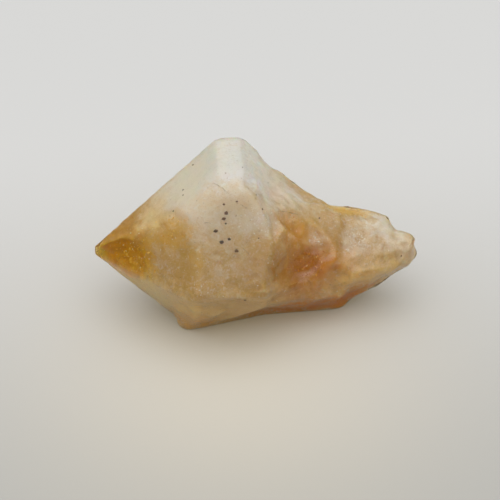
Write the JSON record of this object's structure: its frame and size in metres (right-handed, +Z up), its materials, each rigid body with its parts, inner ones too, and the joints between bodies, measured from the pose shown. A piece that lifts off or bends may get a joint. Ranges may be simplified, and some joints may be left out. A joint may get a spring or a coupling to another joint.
{
  "type": "citrine crystal point",
  "caption": "Single quartz crystal lying on its side: hexagonal prism, pyramid ending in a short chisel edge, and a broken, tapering root at the other end.",
  "frame": {"origin": "bottom centre of the bounding box, on the surface that the crystal lies on", "axes": "+X from the pyramid's tip to the broken root, along the crystal axis; +Y from the front face to the back; +Z up from the face that it rests on"},
  "size_m": [0.0728, 0.0354, 0.0371],
  "materials": {
    "citrine": "glassy and see-through in part, honey yellow, cloudy white near the top and matt where it is broken"
  },
  "bodies": {
    "root": {"crystal_point": "citrine"}
  },
  "joints": []
}
